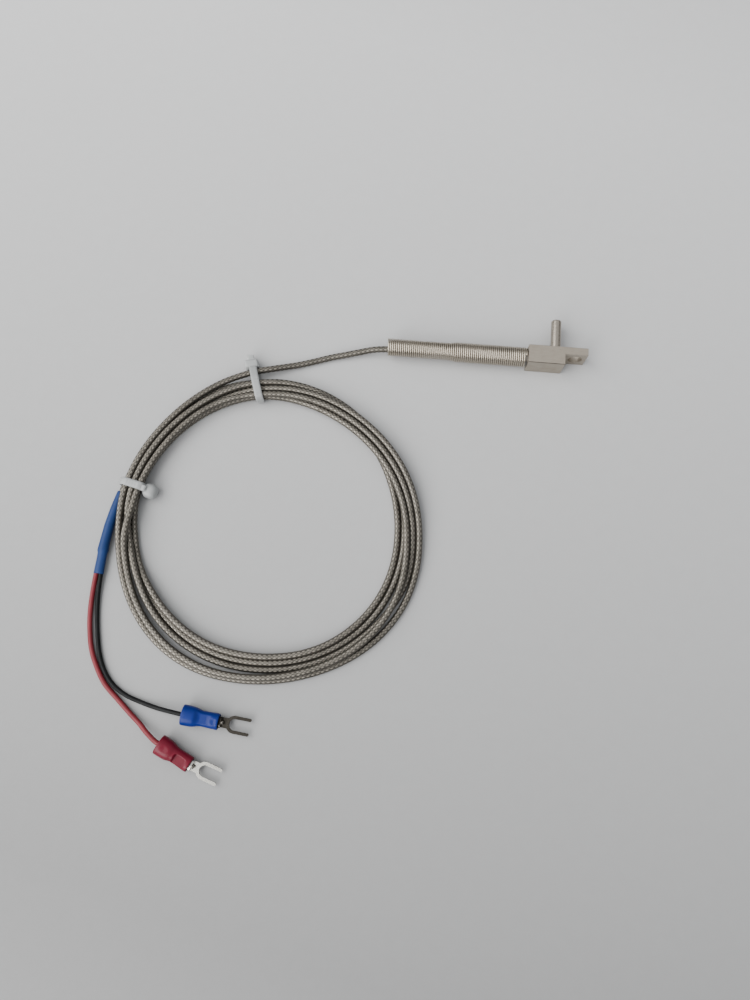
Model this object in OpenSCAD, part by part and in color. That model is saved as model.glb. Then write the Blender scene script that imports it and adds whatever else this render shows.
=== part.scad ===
// Clamp-block thermocouple: a sensor pin in a screwed block, a spring strain relief,
// and a braided lead in a tied coil that ends in two insulated fork terminals.
// The origin is the middle of the screw hole where it opens on the seat face.
// +X runs along the spring and block towards the lug, +Y along the sensor pin, +Z up.
// The part lies on its side: the surface it lies on is half a block height below the origin.

/* [Block] */
// Length of the thick part of the block along X
block_l = 11.4; // [9:0.1:18]
// Thickness of the block in the pin's direction
block_w = 6; // [5:0.1:10]
// Height of the block and lug as the part lies
block_h = 7.5; // [6.6:0.1:12]
// Thickness of the lug
lug_t = 2.5; // [1.5:0.1:4]
// Distance from the block's step to the screw hole
hole_to_step = 3.8; // [3:0.1:8]
// Distance from the screw hole to the lug's end
hole_to_end = 3.4; // [2.8:0.1:8]
// Diameter of the screw hole
hole_d = 4.5; // [3:0.1:5.2]
// Break on the block's long outer edges
edge_break = 0.15; // [0.1:0.05:0.3]

/* [Sensor pin] */
// Diameter of the sensor pin
pin_d = 3.2; // [2.6:0.1:5]
// Length of the pin beyond the seat face
pin_l = 10.3; // [8:0.1:30]
// Distance from the block's step to the pin's axis
pin_to_step = 2.4; // [2.2:0.1:4]
// Rounding of the pin's tip
tip_r = 0.5; // [0.3:0.1:0.7]
// Wall of the sheath
sheath_wall = 0.4; // [0.3:0.05:0.5]
// Depth of the sheath's spigot in the block
spigot_l = 1.2; // [0.8:0.1:1.3]

/* [Spring] */
// Outer diameter of the narrow half of the spring
spring_d = 5.6; // [4.8:0.1:8]
// Outer diameter of the wide half, which is wound on the stem
spring_wide_d = 6.3; // [5.8:0.1:9]
// Spring wire
spring_wire = 0.6; // [0.4:0.05:0.7]
// Length of the narrow half
spring_l = 21.9; // [10:0.1:40]
// Length of the wide half
spring_wide_l = 22.5; // [10:0.1:40]

/* [Lead] */
// Diameter of the braided cable
cable_d = 2; // [1.6:0.1:2.4]
// Mean diameter of the coil
coil_d = 84.8; // [82:0.2:88]
// Width of the bundle of turns
bundle_w = 7.4; // [6:0.1:8]
// Height of the bundle of turns
bundle_h = 3.8; // [3:0.1:5]
// Thickness of a cable tie's strap
strap_t = 0.9; // [0.6:0.1:1.2]
// Width of a cable tie's strap
strap_w = 2.4; // [1.8:0.1:3.6]
// Length of the heat-shrink sleeve
shrink_l = 25.5; // [20:0.5:30]
// Wall of the heat-shrink sleeve
shrink_wall = 0.3; // [0.2:0.05:0.5]
// Diameter of the red lead
red_d = 1.5; // [1:0.1:1.7]
// Diameter of the black lead
black_d = 1.3; // [1:0.1:1.7]

/* [Terminals] */
// Length of an insulating sleeve
sleeve_l = 10.6; // [9:0.1:14]
// Diameter of a sleeve at its wire end
sleeve_d = 5; // [4.6:0.1:6]
// Diameter of a sleeve at its fork end
sleeve_front_d = 4.4; // [4:0.1:5]
// Outer diameter of the crimp barrel
barrel_d = 3.2; // [2.6:0.1:3.6]
// Diameter of the bare conductor in the barrel
strand_d = 1.1; // [0.8:0.1:1.4]
// Length of a terminal from the sleeve's wire end to the fork's tips
terminal_l = 19.8; // [18.8:0.1:26]
// Width over the fork's tines
fork_w = 5; // [4.4:0.1:8]
// Gap between the tines, for the terminal screw
fork_gap = 3.2; // [2.6:0.1:4]
// Depth of the gap from the tips to its round end
fork_gap_l = 6.2; // [4:0.1:7]
// Thickness of the fork
fork_t = 0.8; // [0.6:0.05:1]

/* [Hidden] */
$fn = 64;
eps = 0.01;

// Clearances
slide_gap = 0.05;      // between a round piece and the bore it sits in
coil_gap = 0.1;        // between a tie's strap and the cable it holds

// Places along X
step_x = -hole_to_step;
block_x = step_x - block_l;              // the block's spring face
pin_x = step_x - pin_to_step;
axis_y = -block_w / 2;                   // axis of the spring and stem
spring_start_gap = 0.2;                  // bare stem between the block and the first turn
spring_step_x = block_x - spring_start_gap - spring_wide_l;
mouth_x = spring_step_x - spring_l;      // where the cable leaves the spring
surface_z = -block_h / 2;                // the surface that the part lies on

// Bores and passages in the block
stem_d = spring_wide_d - 2 * spring_wire - 2 * slide_gap;
stem_bore = 3.4;
stem_spigot_d = 4.2;
stem_spigot_l = 4;
passage_d = 3.2;                         // wire passage along X
passage_x = block_x + stem_spigot_l;     // where the passage starts behind the stem
cross_d = 2.4;                           // blind wire passage under the sheath
cross_depth = -axis_y + 1.2;
spigot_d = pin_d + 0.4;                   // wider than the pin, flush with the seat face

// Thermoelement wires
wire_d = 0.5;
wire_side = 0.5;                         // each wire's distance from the mid-plane
bend_r = 1;
core_d = 0.9;
sheath_bore = pin_d - 2 * sheath_wall;
bead_r = min(0.95, sheath_bore / 2 - 0.2);
bead_y = pin_l - 0.6 - bead_r - slide_gap;
bead_flat_y = bead_y - 0.4;              // the bead is flat where the wires join it
ceramic_y = 0.1;
ceramic_end_y = bead_flat_y - 0.1;

// Ferrule and cable end in the stem
ferrule_l = 8;
ferrule_x = spring_step_x + spring_start_gap;
cable_start_x = ferrule_x + ferrule_l - 3;

// The coil lies beside the spring. These places start from the spring's mouth,
// on the surface: x, y along the part's axes and z up from the surface.
coil_at = [-31.2, -61.4];
coil_z = strap_t + coil_gap;             // the straps pass under the bundle
coil_out_r = (coil_d + bundle_w) / 2;
coil_in_r = (coil_d - bundle_w) / 2;
bundle_r = bundle_h / 2 - 0.2;

// Route of the cable from inside the spring's mouth to the coil
mouth_drop = (spring_d - 2 * spring_wire - cable_d) / 2 - 0.3;
mouth_z = block_h / 2 - mouth_drop;
spring_route = [[0, -0.4, mouth_z], [0.35 * spring_l, -0.2, mouth_z + 0.3],
                [0.7 * spring_l, 0, mouth_z + 0.7 * mouth_drop]];
run_route = [[0, -0.4, mouth_z], [-4, -0.6, 0.9 * mouth_z], [-8.5, -1.5, 2], [-14, -2.8, 1.5],
             [-20, -4.4, 1.2], [-27.5, -6.8, 1.2], [-34, -9, 1.6], [-41, -11.6, 2.1],
             [-46.5, -14.3, 2.1], [-52, -17.8, 2.1], [-58, -22.6, 2.1], [-63.4, -29, 2.2]];
// Along a terminal, from the sleeve's wire end
barrel_start = 4.8;
barrel_end = sleeve_l + 0.8;
insulation_end = barrel_start - 0.4;
tongue_start = sleeve_l + 0.3;
axis_z = sleeve_d / 2;                   // height of the terminal's axis
wire_bore = max(red_d, black_d) + 0.7;

// Terminals: place of each sleeve's wire end and its turn about Z
red_at = [-55.5, -126.3];
red_turn = -27;
red_fork_turn = 8;                       // the red tongue is bent a little towards the coil
blue_at = [-49.9, -117.7];
blue_turn = -6.4;

// Heat-shrink: its upper end, its turn about Z, and its two widths inside
pair_gap = 0.05;
split_at = 18;                           // from the sleeve's upper end to the split
shrink_from = [-78.6, -54.3];
shrink_turn = -94.5;
shrink_z = coil_z + cable_d / 2 + 0.05;

// Places on the heat-shrink's axis and on a terminal's axis, at a distance along it,
// and beside the axis where a side is given
function on_shrink(along, side = 0) =
    [shrink_from[0] + along * cos(shrink_turn) - side * sin(shrink_turn),
     shrink_from[1] + along * sin(shrink_turn) + side * cos(shrink_turn), shrink_z];
function on_terminal(at, turn, along) =
    [at[0] + along * cos(turn), at[1] + along * sin(turn), axis_z];

// Route of the cable from the coil into the heat-shrink
end_route = [[-70.4, -39.2, 2.2], [-73.2, -44, 2.1], [-75.9, -49, shrink_z],
             on_shrink(-0.5), on_shrink(6), on_shrink(12), on_shrink(split_at - 1.5)];
// Routes of the two leads from inside the heat-shrink to their terminals
pair_side = (red_d + black_d) / 4 + pair_gap / 2;
red_route = [on_shrink(split_at, -pair_side), on_shrink(split_at + 3, -pair_side),
             on_shrink(shrink_l + 0.5, -pair_side),
             [-81.9, -85.5, 1.4], [-81.9, -91, 0.8], [-81.3, -96, 0.8], [-79.2, -103, 0.8],
             [-76, -108.6, 0.8], [-71.8, -113.4, 0.8], [-66.8, -117.6, 1],
             [-61.6, -121.6, 1.6], on_terminal(red_at, red_turn, -2.5),
             on_terminal(red_at, red_turn, 0), on_terminal(red_at, red_turn, insulation_end)];
black_route = [on_shrink(split_at, pair_side), on_shrink(split_at + 3, pair_side),
               on_shrink(shrink_l + 0.5, pair_side),
               [-80.2, -85.5, 1.3], [-79.9, -91, 0.7], [-79.1, -96.3, 0.7], [-77, -102.4, 0.7],
               [-73.8, -107.8, 0.7], [-69.5, -111.6, 0.7], [-63.8, -114.6, 0.8],
               [-58, -116.4, 1.4], on_terminal(blue_at, blue_turn, -2.5),
               on_terminal(blue_at, blue_turn, 0),
               on_terminal(blue_at, blue_turn, insulation_end)];

// ---- helpers ----

function unit(v) = v / norm(v);
function heading(route, i) =
    unit(route[min(i + 1, len(route) - 1)] - route[max(i - 1, 0)]);

// A tube with eight sides along a route, closed at both ends
module swept(route, d, sides = 8) {
    last = len(route) - 1;
    rings = [for (i = [0 : last])
        let (ahead = heading(route, i), side = unit(cross([0, 0, 1], ahead)),
             up = cross(ahead, side))
        for (k = [0 : sides - 1])
            let (a = 360 * (k + 0.5) / sides)
            route[i] + d / 2 * (cos(a) * side + sin(a) * up)];
    walls = [for (i = [0 : last - 1]) for (k = [0 : sides - 1])
        let (n = (k + 1) % sides)
        [i * sides + k, i * sides + n, (i + 1) * sides + n, (i + 1) * sides + k]];
    start = [for (k = [0 : sides - 1]) sides - 1 - k];
    end = [for (k = [0 : sides - 1]) last * sides + k];
    polyhedron(points = rings, faces = concat([start], walls, [end]), convexity = 4);
}

// Places its children at the foot of the spring's mouth, on the surface
module from_mouth() translate([mouth_x, axis_y, surface_z]) children();

// A round bar along +X from x0 to x1 on the spring's axis
module bar_x(x0, x1, d) translate([x0, axis_y, 0]) rotate([0, 90, 0]) cylinder(h = x1 - x0, d = d);

// A round bar along +Y from y0 to y1 on the pin's axis
module bar_y(y0, y1, d) translate([pin_x, y0, 0]) rotate([-90, 0, 0]) cylinder(h = y1 - y0, d = d);

// A flat outline with round corners
module round_rect(w, h, r) {
    square([w - 2 * r, h], center = true);
    square([w, h - 2 * r], center = true);
    for (x = [-1, 1], y = [-1, 1]) translate([x * (w / 2 - r), y * (h / 2 - r)]) circle(r = r);
}

// ---- head ----

// A slab from [x0, y0] to [x1, y1], full height, with its long top and bottom edges broken
module slab(x0, x1, y0, y1) {
    c = edge_break;
    h = block_h / 2;
    translate([x0, 0, 0]) rotate([90, 0, 90]) linear_extrude(x1 - x0)
        polygon([[y0 + c, -h], [y1 - c, -h], [y1, -h + c], [y1, h - c],
                 [y1 - c, h], [y0 + c, h], [y0, h - c], [y0, -h + c]]);
}

module wire_passages() {
    bar_x(passage_x, pin_x, passage_d);
    bar_y(-cross_depth, -spigot_l, cross_d);
}

module mounting_block() color("silver") difference() {
    union() {
        slab(block_x, step_x, -block_w, 0);
        slab(step_x - eps, hole_to_end, -lug_t, 0);
    }
    translate([0, -lug_t - 1, 0]) rotate([-90, 0, 0]) cylinder(h = lug_t + 2, d = hole_d);
    bar_x(block_x - 1, passage_x, stem_spigot_d);
    wire_passages();
    bar_y(-spigot_l, 1, spigot_d);
}

module sensor_sheath() color("gainsboro") translate([pin_x, 0, 0]) rotate([-90, 0, 0])
    rotate_extrude() polygon(concat(
        [[0, pin_l - 0.6], [sheath_bore / 2, pin_l - 0.6], [sheath_bore / 2, 0],
         [cross_d / 2 - 0.2, 0], [cross_d / 2 - 0.2, -spigot_l], [spigot_d / 2, -spigot_l],
         [spigot_d / 2, 0], [pin_d / 2, 0]],
        [for (a = [0 : 18 : 90])
            [pin_d / 2 - tip_r + tip_r * cos(a), pin_l - tip_r + tip_r * sin(a)]],
        [[0, pin_l]]));

module ceramic_insulator() color("ivory") difference() {
    bar_y(ceramic_y, ceramic_end_y, sheath_bore - 2 * slide_gap);
    for (s = [-1, 1]) translate([0, 0, s * wire_side])
        bar_y(ceramic_y - 1, ceramic_end_y + 1, wire_d + 2 * slide_gap);
}

// The bead where the wires meet, flat on the side where they join it
module bead() {
    low = asin((bead_flat_y - bead_y) / bead_r);
    translate([pin_x, bead_y, 0]) rotate([-90, 0, 0]) rotate_extrude() polygon(concat(
        [[0, bead_flat_y - bead_y]],
        [for (i = [0 : 7]) let (a = low + (90 - low) * i / 8)
            [bead_r * cos(a), bead_r * sin(a)]],
        [[0, bead_r]]));
}

module hot_junction() color("dimgray") bead();

module tip_cement() color("lightgray") difference() {
    bar_y(ceramic_end_y, pin_l - 0.6, sheath_bore);
    bead();
    for (s = [-1, 1]) translate([0, 0, s * wire_side])
        bar_y(ceramic_end_y - 1, bead_flat_y, wire_d);
}

// One wire: along X on the spring's axis, round a bend, then along Y into the pin
module wire(s, d = wire_d, x0 = cable_start_x, y1 = bead_flat_y) {
    translate([0, 0, s * wire_side]) {
        bar_x(x0, pin_x - bend_r, d);
        translate([pin_x - bend_r, axis_y + bend_r, 0]) rotate([0, 0, -90])
            rotate_extrude(angle = 90) translate([bend_r, 0]) circle(d = d);
        bar_y(axis_y + bend_r, y1, d);
    }
}

module thermoelement_positive() color("olive") wire(1);

module thermoelement_negative() color("peru") wire(-1);

// The glass-fibre insulation of one core, over its wire
module core(s) translate([0, 0, s * wire_side]) difference() {
    bar_x(cable_start_x, passage_x, core_d);
    bar_x(cable_start_x - 1, passage_x + 1, wire_d + 2 * slide_gap);
}

module core_positive() color("white") core(1);

module core_negative() color("white") core(-1);

module block_potting() color("khaki") difference() {
    wire_passages();
    wire(1, wire_d, passage_x - 1, 1);
    wire(-1, wire_d, passage_x - 1, 1);
}

module stem_tube() color("lightslategray") difference() {
    union() {
        bar_x(ferrule_x, block_x, stem_d);
        bar_x(block_x - eps, passage_x, stem_spigot_d);
    }
    bar_x(ferrule_x - 1, passage_x + 1, stem_bore);
}

module cable_ferrule() color("peru") difference() {
    bar_x(ferrule_x, ferrule_x + ferrule_l, stem_bore);
    bar_x(ferrule_x - 1, ferrule_x + ferrule_l + 1, cable_d + 2 * slide_gap);
}

// Outer outline of close-wound turns from x0 to x1, as points [radius, x]
function turns(x0, x1, r0, r1) = let (n = round((x1 - x0) / spring_wire), p = (x1 - x0) / n)
    [for (i = [0 : n - 1]) each let (r = r0 + (r1 - r0) * (i + 0.5) / n, x = x0 + i * p)
        [[r - 0.3 * p, x], [r, x + 0.3 * p], [r, x + 0.7 * p], [r - 0.3 * p, x + p - eps]]];

module armour_spring() color("darkgray") {
    grow_l = 4 * spring_wire;
    x0 = mouth_x;
    x1 = spring_step_x - grow_l;
    x3 = block_x - spring_start_gap;
    r = spring_d / 2;
    wide_r = spring_wide_d / 2;
    translate([0, axis_y, 0]) rotate([0, 90, 0]) rotate_extrude() polygon(concat(
        turns(x0, x1, r, r),
        turns(x1, spring_step_x, r, wide_r),
        turns(spring_step_x, x3, wide_r, wide_r),
        [[wide_r - spring_wire, x3], [wide_r - spring_wire, spring_step_x],
         [r - spring_wire, x1], [r - spring_wire, x0]]));
}

module cable_in_spring() color("gray") swept(concat(
    [for (p = spring_route) [mouth_x, axis_y, surface_z] + p],
    [[ferrule_x, axis_y, 0], [cable_start_x, axis_y, 0]]), cable_d);

// ---- lead ----

module cable_run() color("gray") from_mouth() swept(run_route, cable_d);

module cable_coil() color("gray") from_mouth() translate([coil_at[0], coil_at[1], coil_z])
    rotate_extrude($fn = 128) translate([coil_d / 2, bundle_h / 2])
        round_rect(bundle_w, bundle_h, bundle_r);

module cable_end() color("gray") from_mouth() swept(end_route, cable_d);

// A tie in a radial plane of the coil, at an angle: it goes round from r0 to r1,
// and its head sits on the outer side (1) or the inner side (-1)
module tie(angle, skew, r0, r1, side) {
    hole_h = bundle_h + 2 * coil_gap;
    head = [3, 4.4, 3.4];
    head_x = side > 0 ? r1 + strap_t : r0 - strap_t - head[0];
    mid = (r0 + r1) / 2;
    from_mouth() translate([coil_at[0], coil_at[1], 0]) rotate(angle)
        translate([mid, 0, 0]) rotate(skew) translate([-mid, 0, 0]) {
            translate([mid, strap_w / 2, strap_t + hole_h / 2]) rotate([90, 0, 0])
                linear_extrude(strap_w) difference() {
                    round_rect(r1 - r0 + 2 * strap_t, hole_h + 2 * strap_t, 1.8);
                    round_rect(r1 - r0, hole_h, 0.9);
                }
            translate([head_x + (side > 0 ? -eps : eps), -head[1] / 2, 0]) cube(head);
        }
}

module cable_tie_top() color("whitesmoke")
    tie(101, 7, coil_in_r - 4 * coil_gap, coil_out_r + cable_d + 3.6, 1);

module cable_tie_left() color("whitesmoke")
    tie(167.5, 0, coil_in_r - 2 * coil_gap, coil_out_r + cable_d + 0.3, -1);

// The pair of leads in cross-section, grown by a margin
module pair_outline(margin) {
    r = max(red_d, black_d) / 2;
    square([2 * pair_side, 2 * (r + margin)], center = true);
    for (s = [-1, 1]) translate([s * pair_side, 0]) circle(r = r + margin);
}

// Places its children on the sleeve's axis, with local +Z as the way along
module along_shrink(from) from_mouth()
    translate([shrink_from[0], shrink_from[1], shrink_z]) rotate([0, 90, shrink_turn])
        translate([0, 0, from]) rotate(90) children();

module heat_shrink() color("royalblue") difference() {
    union() {
        along_shrink(0) cylinder(h = split_at, d = cable_d + 2 * (shrink_wall + pair_gap));
        along_shrink(split_at - 1) linear_extrude(shrink_l - split_at + 1)
            pair_outline(shrink_wall);
    }
    along_shrink(-1) cylinder(h = split_at + 1, d = cable_d + 2 * pair_gap);
    along_shrink(split_at - eps) linear_extrude(shrink_l) pair_outline(pair_gap);
}

module lead_red() color("red") from_mouth() swept(red_route, red_d);

module lead_black() color("dimgray") from_mouth() swept(black_route, black_d);

// ---- terminals ----

// Places a terminal's local +X along its axis
module terminal(at, turn) from_mouth() translate([at[0], at[1], axis_z]) rotate(turn) children();

module rod(x0, x1, d) translate([x0, 0, 0]) rotate([0, 90, 0]) cylinder(h = x1 - x0, d = d);

module fork(bend) {
    r = fork_gap / 2;
    tine = (fork_w - fork_gap) / 2;
    root_x = terminal_l - fork_gap_l + r;
    neck_w = 0.9 * barrel_d;
    difference() {
        rod(barrel_start, barrel_end, barrel_d);
        rod(barrel_start - 1, barrel_end + 1, strand_d + 2 * slide_gap);
    }
    translate([tongue_start, 0, -barrel_d / 2]) rotate(bend) translate([-tongue_start, 0, 0])
        linear_extrude(fork_t) difference() {
            union() {
                translate([tongue_start, -neck_w / 2]) square([root_x - tongue_start, neck_w]);
                translate([root_x, 0]) circle(d = fork_w);
                translate([root_x, -fork_w / 2])
                    square([terminal_l - tine / 2 - root_x, fork_w]);
                for (s = [-1, 1]) translate([terminal_l - tine / 2, s * (fork_w - tine) / 2])
                    circle(d = tine);
            }
            translate([root_x, 0]) circle(r = r);
            translate([root_x, -r]) square([terminal_l, fork_gap]);
        }
}

module sleeve() difference() {
    rotate([0, 90, 0]) rotate_extrude() polygon([[0, 0], [sleeve_d / 2 - 0.2, 0],
        [sleeve_d / 2, 0.3], [sleeve_d / 2, 2.6], [sleeve_front_d / 2, 4.6],
        [sleeve_front_d / 2, sleeve_l - 0.2], [sleeve_front_d / 2 - 0.2, sleeve_l],
        [0, sleeve_l]]);
    rod(-1, sleeve_l + 1, wire_bore);
    rod(barrel_start - 0.1, sleeve_l + 1, barrel_d + 2 * slide_gap);
}

module strands() rod(insulation_end, barrel_end + 0.8, strand_d);

module fork_red() color("silver") terminal(red_at, red_turn) fork(red_fork_turn);

module sleeve_red() color("crimson") terminal(red_at, red_turn) sleeve();

module conductor_red() color("orange") terminal(red_at, red_turn) strands();

module fork_blue() color("silver") terminal(blue_at, blue_turn) fork(0);

module sleeve_blue() color("blue") terminal(blue_at, blue_turn) sleeve();

module conductor_blue() color("orange") terminal(blue_at, blue_turn) strands();

mounting_block();
sensor_sheath();
ceramic_insulator();
hot_junction();
tip_cement();
block_potting();
thermoelement_positive();
thermoelement_negative();
core_positive();
core_negative();
stem_tube();
cable_ferrule();
armour_spring();
cable_in_spring();
cable_run();
cable_coil();
cable_end();
cable_tie_top();
cable_tie_left();
heat_shrink();
lead_red();
lead_black();
fork_red();
sleeve_red();
conductor_red();
fork_blue();
sleeve_blue();
conductor_blue();
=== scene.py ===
import math

import bmesh
import bpy
import numpy as np
from mathutils import Matrix, Vector


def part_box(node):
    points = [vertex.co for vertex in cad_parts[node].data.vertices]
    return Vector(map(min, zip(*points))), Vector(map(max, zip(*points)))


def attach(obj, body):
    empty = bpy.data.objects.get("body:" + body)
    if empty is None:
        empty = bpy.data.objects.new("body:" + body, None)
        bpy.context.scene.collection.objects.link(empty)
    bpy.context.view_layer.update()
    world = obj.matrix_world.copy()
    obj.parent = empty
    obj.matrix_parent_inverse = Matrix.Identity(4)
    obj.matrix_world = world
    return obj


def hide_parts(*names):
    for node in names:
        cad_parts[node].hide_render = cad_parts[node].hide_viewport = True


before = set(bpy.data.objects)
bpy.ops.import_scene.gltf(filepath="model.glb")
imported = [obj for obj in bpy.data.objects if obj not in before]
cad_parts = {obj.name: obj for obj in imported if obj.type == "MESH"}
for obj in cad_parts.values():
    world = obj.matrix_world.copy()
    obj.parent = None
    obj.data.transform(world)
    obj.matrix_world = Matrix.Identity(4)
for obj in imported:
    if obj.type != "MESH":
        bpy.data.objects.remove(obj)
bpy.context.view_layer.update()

# Sizes below are in millimetres in the part's own frame: the origin is the middle of the screw
# hole, +X runs along the spring towards the lug, +Y along the sensor pin, +Z up.
MM = 0.001
SPRING_LOW, SPRING_HIGH = (np.array(corner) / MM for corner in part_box("armour_spring"))
BLOCK_LOW = np.array(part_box("mounting_block")[0]) / MM
TABLE_Z = BLOCK_LOW[2]
MOUTH_X = SPRING_LOW[0]
AXIS_Y = (SPRING_LOW[1] + SPRING_HIGH[1]) / 2

CABLE_D = 2.0
RED_D = 1.5
BLACK_D = 1.3
COIL_CENTRE = (-90.8, -64.4)
# Where the ties sit, in degrees anticlockwise round the coil from +X
TIE_TOP_ANGLE = 101.2
TIE_LEFT_ANGLE = 167.0
STRAP_T = 0.9
STRAP_W = 2.4


# ---- camera, floor and light ----

CAMERA_PLACE = (-55.47, -103.62)
CAMERA_HEIGHT = 226.8


def make_camera():
    ahead = Vector((-0.01806, 0.21996, -0.97534)).normalized()
    above = Vector((-0.07982, 0.97207, 0.22070))
    right = ahead.cross(above).normalized()
    above = right.cross(ahead)
    data = bpy.data.cameras.new("camera")
    data.sensor_fit = "VERTICAL"
    data.sensor_height = 36
    data.lens = 27
    data.clip_start = 0.005
    camera = bpy.data.objects.new("camera", data)
    place = Vector((*CAMERA_PLACE, CAMERA_HEIGHT + TABLE_Z)) * MM
    camera.matrix_world = (Matrix.Translation(place)
                           @ Matrix((right, above, -ahead)).transposed().to_4x4())
    bpy.context.scene.collection.objects.link(camera)
    bpy.context.scene.camera = camera


def make_light(name, place, target, size, power, colour):
    data = bpy.data.lights.new(name, "AREA")
    data.shape = "SQUARE"
    data.size = size * MM
    data.energy = power
    data.color = colour
    lamp = bpy.data.objects.new(name, data)
    lamp.location = Vector(place) * MM
    lamp.rotation_euler = (Vector(target) - Vector(place)).to_track_quat("-Z", "Y").to_euler()
    bpy.context.scene.collection.objects.link(lamp)


def make_world():
    """A pale ceiling over a darker horizon, so that bright metal gets dark edges."""
    world = bpy.data.worlds.new("studio")
    world.use_nodes = True
    tree = world.node_tree
    place = tree.nodes.new("ShaderNodeTexCoord")
    split = tree.nodes.new("ShaderNodeSeparateXYZ")
    ramp = tree.nodes.new("ShaderNodeValToRGB")
    tree.links.new(place.outputs["Generated"], split.inputs[0])
    tree.links.new(split.outputs[2], ramp.inputs[0])
    tree.links.new(ramp.outputs[0], tree.nodes["Background"].inputs["Color"])
    stops = ramp.color_ramp.elements
    stops[0].position, stops[0].color = 0.0, (0.15, 0.15, 0.155, 1)
    stops[1].position, stops[1].color = 1.0, (0.88, 0.895, 0.91, 1)
    for position, level in ((0.4, 0.28), (0.62, 0.8)):
        stop = stops.new(position)
        stop.color = (level, level * 1.005, level * 1.02, 1)
    tree.nodes["Background"].inputs["Strength"].default_value = 1.12
    bpy.context.scene.world = world


make_camera()
make_light("window", (-700, -60, 620), (-80, -60, 0), 900, 13.5, (1.0, 0.99, 0.97))
make_light("front", (-420, -560, 360), (-60, -60, 0), 450, 4.8, (1.0, 0.99, 0.98))
make_world()


# ---- routes ----

def resample(points, step):
    """Points on a smooth curve through the given ones, a fixed step apart."""
    p = np.array(points, dtype=float)
    p = np.vstack([2 * p[0] - p[1], p, 2 * p[-1] - p[-2]])
    t = np.linspace(0, 1, 24, endpoint=False)[:, None]
    fine = []
    for a, b, c, d in zip(p[:-3], p[1:-2], p[2:-1], p[3:]):
        fine.append(0.5 * (2 * b + (c - a) * t + (2 * a - 5 * b + 4 * c - d) * t ** 2
                           + (3 * b - a - 3 * c + d) * t ** 3))
    fine = np.vstack(fine + [p[-2:-1]])
    along = np.r_[0, np.cumsum(np.linalg.norm(np.diff(fine, axis=0), axis=1))]
    count = max(2, round(along[-1] / step) + 1)
    stations = np.linspace(0, along[-1], count)
    return np.stack([np.interp(stations, along, fine[:, k]) for k in range(3)], axis=1)


def on_table(points):
    """Lifts points whose last value is a height above the table into the part's frame."""
    return [(x, y, z + TABLE_Z) for x, y, z in points]


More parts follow.
